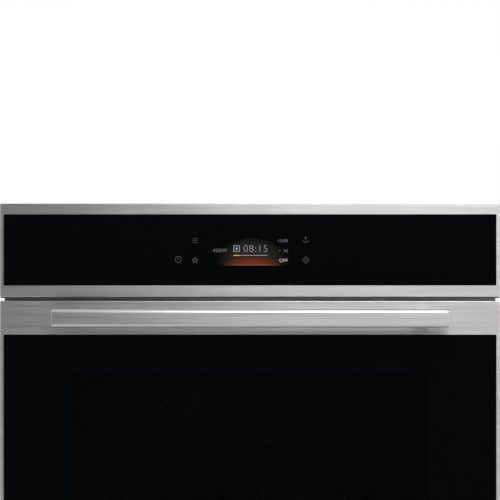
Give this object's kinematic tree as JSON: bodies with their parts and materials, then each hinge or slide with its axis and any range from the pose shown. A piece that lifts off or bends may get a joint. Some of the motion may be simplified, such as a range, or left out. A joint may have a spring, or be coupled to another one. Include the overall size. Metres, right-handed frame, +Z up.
{
  "type": "built-in microwave",
  "caption": "Compact built-in combination microwave with a steel-framed black glass control panel above a drop-down door, cavity, turntable and cooling ducts.",
  "frame": {"origin": "middle of the front edge of the base, on the niche shelf, in the plane of the cabinet's face", "axes": "+X right seen from the front, +Y into the niche, +Z up; the door and the panel face -Y"},
  "size_m": [0.595, 0.612, 0.455],
  "materials": {
    "galvanised_steel": "zinc-coated sheet, light spangle",
    "stainless_steel": "fine brushed grain along the width",
    "black_glass": "toughened glass, black behind",
    "clear_glass": "clear toughened glass",
    "enamelled_steel": "dark grey vitreous enamel",
    "mineral_wool": "pale mineral wool",
    "silicone_rubber": "matt silicone rubber",
    "black_plastic": "moulded, fine grain",
    "white_plastic": "moulded, satin",
    "circuit_board": "green resist over glass fibre",
    "heater_tube": "dark oxidised steel",
    "motor_steel": "bare steel",
    "aluminium": "satin",
    "mica": "satin sheet",
    "lamp_ceramic": "glazed ceramic",
    "zinc_screws": "zinc plated"
  },
  "bodies": {
    "chassis": {"base_plate": "galvanised_steel", "left_side_panel": "galvanised_steel", "right_side_panel": "galvanised_steel", "top_cover": "galvanised_steel", "rear_panel": "galvanised_steel", "front_frame": "galvanised_steel", "cavity_liner": "enamelled_steel", "insulation_blanket": "mineral_wool", "cavity_gasket": "silicone_rubber", "component_deck": "galvanised_steel", "air_duct": "black_plastic", "fan_cover": "stainless_steel", "ring_element": "heater_tube", "grill_element": "heater_tube", "convection_motor": "motor_steel", "turntable_motor": "motor_steel", "magnetron": "galvanised_steel", "waveguide": "galvanised_steel", "mica_window": "mica", "hv_transformer": "motor_steel", "hv_capacitor": "aluminium", "source_fan_frame": "black_plastic", "blower_housing": "black_plastic", "blower_motor": "motor_steel", "power_board": "circuit_board", "mains_inlet": "black_plastic", "cavity_lamp": "lamp_ceramic", "lamp_cover": "clear_glass", "temperature_sensor": "heater_tube", "door_switches": "galvanised_steel", "hinge_levers": "galvanised_steel", "casing_screws": "zinc_screws", "control_fascia": "stainless_steel", "control_glass": "black_glass", "panel_carrier": "black_plastic", "display_module": "black_plastic", "touch_board": "circuit_board", "control_board": "circuit_board"},
    "door": {"door_glass": "black_glass", "door_trim": "stainless_steel", "door_frame": "enamelled_steel", "door_inner_glass": "clear_glass", "door_screen": "enamelled_steel", "choke_cover": "black_plastic", "door_handle_bar": "stainless_steel", "door_handle_posts": "stainless_steel", "door_strikers": "motor_steel", "hinge_channels": "galvanised_steel", "hinge_springs": "motor_steel"},
    "turntable": {"turntable_plate": "clear_glass", "turntable_coupling": "white_plastic"},
    "roller_ring": {"roller_ring": "stainless_steel"},
    "roller_1": {"roller_1": "white_plastic"},
    "roller_2": {"roller_2": "white_plastic"},
    "roller_3": {"roller_3": "white_plastic"},
    "convection_fan": {"convection_fan": "aluminium"},
    "blower_rotor": {"blower_rotor": "black_plastic"},
    "source_fan": {"source_fan_blades": "black_plastic"},
    "switch_plungers": {"switch_plungers": "white_plastic"},
    "hinge_rods": {"hinge_rods": "galvanised_steel"}
  },
  "joints": [
    {"name": "door_hinge", "type": "hinge", "parent": "chassis", "child": "door", "pos_m": [0, -0.0095, 0.015], "axis": [1, 0, 0], "range_deg": [0, 90], "stiffness_Nm_per_rad": 5, "springref_deg": -11.46},
    {"name": "turntable_spin", "type": "hinge", "parent": "chassis", "child": "turntable", "pos_m": [0, 0.2195, 0.0914], "axis": [0, 0, 1], "continuous": true},
    {"name": "roller_ring_spin", "type": "hinge", "parent": "chassis", "child": "roller_ring", "pos_m": [0, 0.2195, 0.0832], "axis": [0, 0, 1], "continuous": true},
    {"name": "roller_1_spin", "type": "hinge", "parent": "roller_ring", "child": "roller_1", "pos_m": [0, 0.3145, 0.0832], "axis": [0, 1, 0], "continuous": true},
    {"name": "roller_2_spin", "type": "hinge", "parent": "roller_ring", "child": "roller_2", "pos_m": [-0.08227, 0.172, 0.0832], "axis": [-0.866, -0.5, 0], "continuous": true},
    {"name": "roller_3_spin", "type": "hinge", "parent": "roller_ring", "child": "roller_3", "pos_m": [0.08227, 0.172, 0.0832], "axis": [0.866, -0.5, 0], "continuous": true},
    {"name": "convection_fan_spin", "type": "hinge", "parent": "chassis", "child": "convection_fan", "pos_m": [0, 0.44, 0.18], "axis": [0, 1, 0], "continuous": true},
    {"name": "blower_rotor_spin", "type": "hinge", "parent": "chassis", "child": "blower_rotor", "pos_m": [-0.085, 0.165, 0.369], "axis": [1, 0, 0], "continuous": true},
    {"name": "source_fan_spin", "type": "hinge", "parent": "chassis", "child": "source_fan", "pos_m": [0.2085, 0.302, 0.372], "axis": [0, 1, 0], "continuous": true},
    {"name": "switch_plungers_slide", "type": "slide", "parent": "chassis", "child": "switch_plungers", "axis": [0, -1, 0], "range_m": [0, 0.003]},
    {"name": "hinge_rods_slide", "type": "slide", "parent": "door", "child": "hinge_rods", "axis": [0, 0, -1], "range_m": [0, 0.012], "deforming": ["hinge_springs"]}
  ],
  "couplings": [
    {"joint": "roller_ring_spin", "follows": "turntable_spin", "ratio": 0.5},
    {"joint": "roller_1_spin", "follows": "turntable_spin", "ratio": -5.9375},
    {"joint": "roller_2_spin", "follows": "turntable_spin", "ratio": -5.9375},
    {"joint": "roller_3_spin", "follows": "turntable_spin", "ratio": -5.9375},
    {"joint": "switch_plungers_slide", "follows": "door_hinge", "m_per_rad": 0.0019098},
    {"joint": "hinge_rods_slide", "follows": "door_hinge", "m_per_rad": 0.007639}
  ]
}
